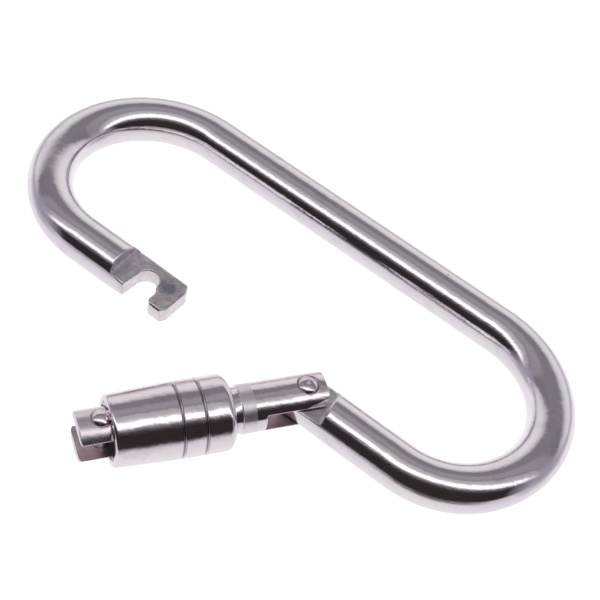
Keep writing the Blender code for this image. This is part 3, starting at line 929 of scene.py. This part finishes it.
def retaining_ring():
    profile = ring_profile(RING_BORE_R, RING_R, *RING, RING_EDGE)
    ring = lathe("snap_ring", profile, even_angles(SLEEVE_SIDES), ALONG_GATE, DULL, closed=True)
    half = RING_MOUTH / 2
    mouth = [
        (RING[0] - OVERCUT, -half),
        (RING[1] + OVERCUT, -half),
        (RING[1] + OVERCUT, half),
        (RING[0] - OVERCUT, half),
    ]
    below = GATE_PLACE @ Matrix.Translation((0.0, 0.0, -RING_R * MM))
    cut(ring, prism("ring_mouth", mouth, RING_R - RING_BORE_R / 2, below, DULL))
    break_shading(ring, TURNED_SHADING_ANGLE)
    finished(ring, "gate", "retaining_ring")


def lock_spring():
    """Compression spring with a closed turn at each end, wound about the gate."""
    pitch_closed = 2 * SPRING_WIRE_R + SPRING_COIL_GAP
    open_rise = SPRING[1] - SPRING[0] - 2 * pitch_closed
    rings = []
    for i in range(SPRING_TURNS * SPRING_STEPS + 1):
        turns = i / SPRING_STEPS
        first = min(turns, 1.0)
        last = max(turns - SPRING_TURNS + 1.0, 0.0)
        share = (turns - first - last) / (SPRING_TURNS - 2.0)
        station = SPRING[0] + pitch_closed * (first + last) + open_rise * share
        angle = 2 * math.pi * turns
        out = Vector((0.0, math.cos(angle), math.sin(angle)))
        ring = []
        for k in range(WIRE_SIDES):
            around = 2 * math.pi * k / WIRE_SIDES
            offset = out * (SPRING_R + SPRING_WIRE_R * math.cos(around))
            ring.append((station + SPRING_WIRE_R * math.sin(around), offset.y, offset.z))
        rings.append(ring)
    spring = swept("wound_spring", rings, GATE_PLACE, WIRE)
    finished(spring, "gate", "lock_spring")
    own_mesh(spring)


# ---- stage, light and camera ----

# The camera's direction and roll in radians, its distance in metres, and what it looks at, as a
# step from the hinge pivot.
VIEW_AZIMUTH = 0.4733
VIEW_ELEVATION = 0.84955
VIEW_ROLL = 0.24225
VIEW_DISTANCE = 0.27364
VIEW_TARGET = Vector((-13.225, 15.945, 0.0)) * MM
LENS = 97.13
SENSOR = 36.0

# What the steel mirrors, by height angle in degrees: 0 is the horizon on the viewer's side,
# 90 straight up, 180 the horizon behind, -90 straight down.
STUDIO_BANDS = (
    (-150, 0.95), (-120, 0.88), (-100, 0.84), (-60, 0.80), (-38, 0.75), (-28, 0.68), (-21, 0.48),
    (-15, 0.22), (-9, 0.05), (0, 0.03), (37, 0.03), (46, 0.07), (54, 0.2), (59, 0.6),
    (62.5, 1.3), (73, 1.3), (77, 0.65), (84, 0.45), (92, 0.42), (96, 0.24), (101, 0.31),
    (114, 0.30), (118, 0.21), (134, 0.21), (140, 0.5), (150, 0.72), (168, 0.76), (177, 0.55),
    (184, 0.48), (192, 0.7), (200, 0.82), (209.9, 0.95),
)
BAND_ORIGIN = -150.0
# Bands darker than the first level are warm, and those up to the second are cool.
DARK_LEVEL = 0.15
SHADE_LEVEL = 0.35
WARM_DARK = (1.0, 0.8, 0.8)
COOL_SHADE = (0.98, 0.945, 1.02)
EVEN_LIGHT = (1.0, 1.0, 1.0)
# A colour ramp holds no more than 1, so the bands are stored at half their strength.
SHELL_STRENGTH = 2.0
SHELL_RADIUS = 1000.0
# Where along the shell, as a distance to either side, the bands run out into an even light.
BAND_FADE = (0.86, 0.995)
SIDE_LIGHT = (0.38, 0.37, 0.40)
# The room is dimmer and bluer to the sides.
SIDE_DIMMING = (0.3, 0.92)
SIDE_TINT = (0.88, 0.86, 0.92)

FLOOR_HALF = 900.0
FLOOR_DROP = 0.2
FLOOR_GREY = 0.45
FLOOR_GLOW = 0.8


def band_tint(level):
    """The colour cast of a band of that brightness."""
    if level < DARK_LEVEL:
        return WARM_DARK
    return COOL_SHADE if level < SHADE_LEVEL else EVEN_LIGHT


def studio_shell():
    """A large shell of light and dark bands around the set, seen only in reflections."""
    work = bmesh.new()
    bmesh.ops.create_icosphere(work, subdivisions=5, radius=SHELL_RADIUS)
    material = bpy.data.materials.new("studio_bands")
    material.use_nodes = True
    tree = material.node_tree
    tree.nodes.clear()
    coords = add(tree, "ShaderNodeTexCoord").outputs["Object"]
    parts = add(tree, "ShaderNodeSeparateXYZ", {0: coords})
    angle = math_node(tree, "ARCTAN2", parts.outputs["Z"], parts.outputs["X"])
    degrees = math_node(tree, "MULTIPLY", angle, 180.0 / math.pi)
    shifted = math_node(tree, "SUBTRACT", degrees, BAND_ORIGIN)
    turned_round = add(tree, "ShaderNodeMath", {0: shifted, 1: 360.0, 2: 0.0}, operation="WRAP")
    position = math_node(tree, "DIVIDE", turned_round.outputs[0], 360.0)
    ramp = add(tree, "ShaderNodeValToRGB", {"Fac": position})
    stops = ramp.color_ramp.elements
    while len(stops) > 1:
        stops.remove(stops[-1])
    for i, (height, value) in enumerate(STUDIO_BANDS):
        place = (height - BAND_ORIGIN) / 360.0
        stop = stops[0] if i == 0 else stops.new(place)
        stop.position = place
        stop.color = (*(value / SHELL_STRENGTH * share for share in band_tint(value)), 1.0)
    sideways = absolute(tree, parts.outputs["Y"])
    fade = remap(tree, sideways, BAND_FADE[0], BAND_FADE[1], 0.0, 1.0)
    level = tuple(value / SHELL_STRENGTH for value in SIDE_LIGHT)
    bands = mix_colour(tree, fade, ramp.outputs["Color"], (*level, 1.0))
    dimming = remap(tree, sideways, SIDE_DIMMING[0], SIDE_DIMMING[1], 0.0, 1.0)
    side_tint = mix_colour(tree, dimming, (*EVEN_LIGHT, 1.0), (*SIDE_TINT, 1.0))
    seen = add(tree, "ShaderNodeVectorMath", {0: bands, 1: side_tint}, operation="MULTIPLY")
    emission = add(
        tree, "ShaderNodeEmission", {"Color": seen.outputs["Vector"], "Strength": SHELL_STRENGTH}
    )
    output = add(tree, "ShaderNodeOutputMaterial")
    tree.links.new(emission.outputs[0], output.inputs["Surface"])
    turn = Matrix.Rotation(VIEW_AZIMUTH - math.pi / 2, 4, "Z")
    shell = new_object("studio_shell", work, Matrix.Translation(PIVOT) @ turn, material)
    shell.visible_camera = False
    shell.visible_diffuse = False
    shell.visible_shadow = False
    shell.visible_transmission = False
    material.cycles.emission_sampling = "NONE"


def floor_white():
    """A pale matt material that gives off some light of its own, so that no shadow greys it."""
    material = bpy.data.materials.new("floor_white")
    material.use_nodes = True
    shader = material.node_tree.nodes["Principled BSDF"]
    shader.inputs["Base Color"].default_value = (FLOOR_GREY, FLOOR_GREY, FLOOR_GREY, 1.0)
    shader.inputs["Roughness"].default_value = 0.9
    shader.inputs["Emission Color"].default_value = (*EVEN_LIGHT, 1.0)
    shader.inputs["Emission Strength"].default_value = FLOOR_GLOW
    return material


def floor():
    work = bmesh.new()
    bmesh.ops.create_grid(work, x_segments=1, y_segments=1, size=FLOOR_HALF)
    low, _ = cad_box
    place = Matrix.Translation((0.0, 0.0, low[2] - FLOOR_DROP * MM))
    surface = new_object("floor", work, place, floor_white())
    surface.visible_glossy = False


def white_surround():
    world = bpy.data.worlds.new("white_surround")
    world.use_nodes = True
    background = world.node_tree.nodes["Background"]
    background.inputs["Color"].default_value = (1.0, 1.0, 1.0, 1.0)
    background.inputs["Strength"].default_value = 1.0
    bpy.context.scene.world = world


def camera():
    data = bpy.data.cameras.new("view")
    data.lens = LENS
    data.sensor_width = SENSOR
    data.clip_start = 0.01
    data.clip_end = 10.0
    eye = bpy.data.objects.new("view", data)
    bpy.context.scene.collection.objects.link(eye)
    back = Vector((
        math.sin(VIEW_AZIMUTH) * math.cos(VIEW_ELEVATION),
        -math.cos(VIEW_AZIMUTH) * math.cos(VIEW_ELEVATION),
        math.sin(VIEW_ELEVATION),
    ))
    level = (-back).cross(Vector((0.0, 0.0, 1.0))).normalized()
    upward = back.cross(level)
    right = math.cos(VIEW_ROLL) * level + math.sin(VIEW_ROLL) * upward
    up = back.cross(right)
    turn = Matrix((right, up, back)).transposed().to_4x4()
    turn.translation = PIVOT + VIEW_TARGET + back * VIEW_DISTANCE
    eye.matrix_world = turn
    bpy.context.scene.camera = eye


camera()
hook_body()
gate_bar()
latch_rivet()
hinge_rivet()
turned_pieces()
retaining_ring()
lock_spring()
floor()
studio_shell()
white_surround()
bpy.context.scene.view_settings.view_transform = "Standard"
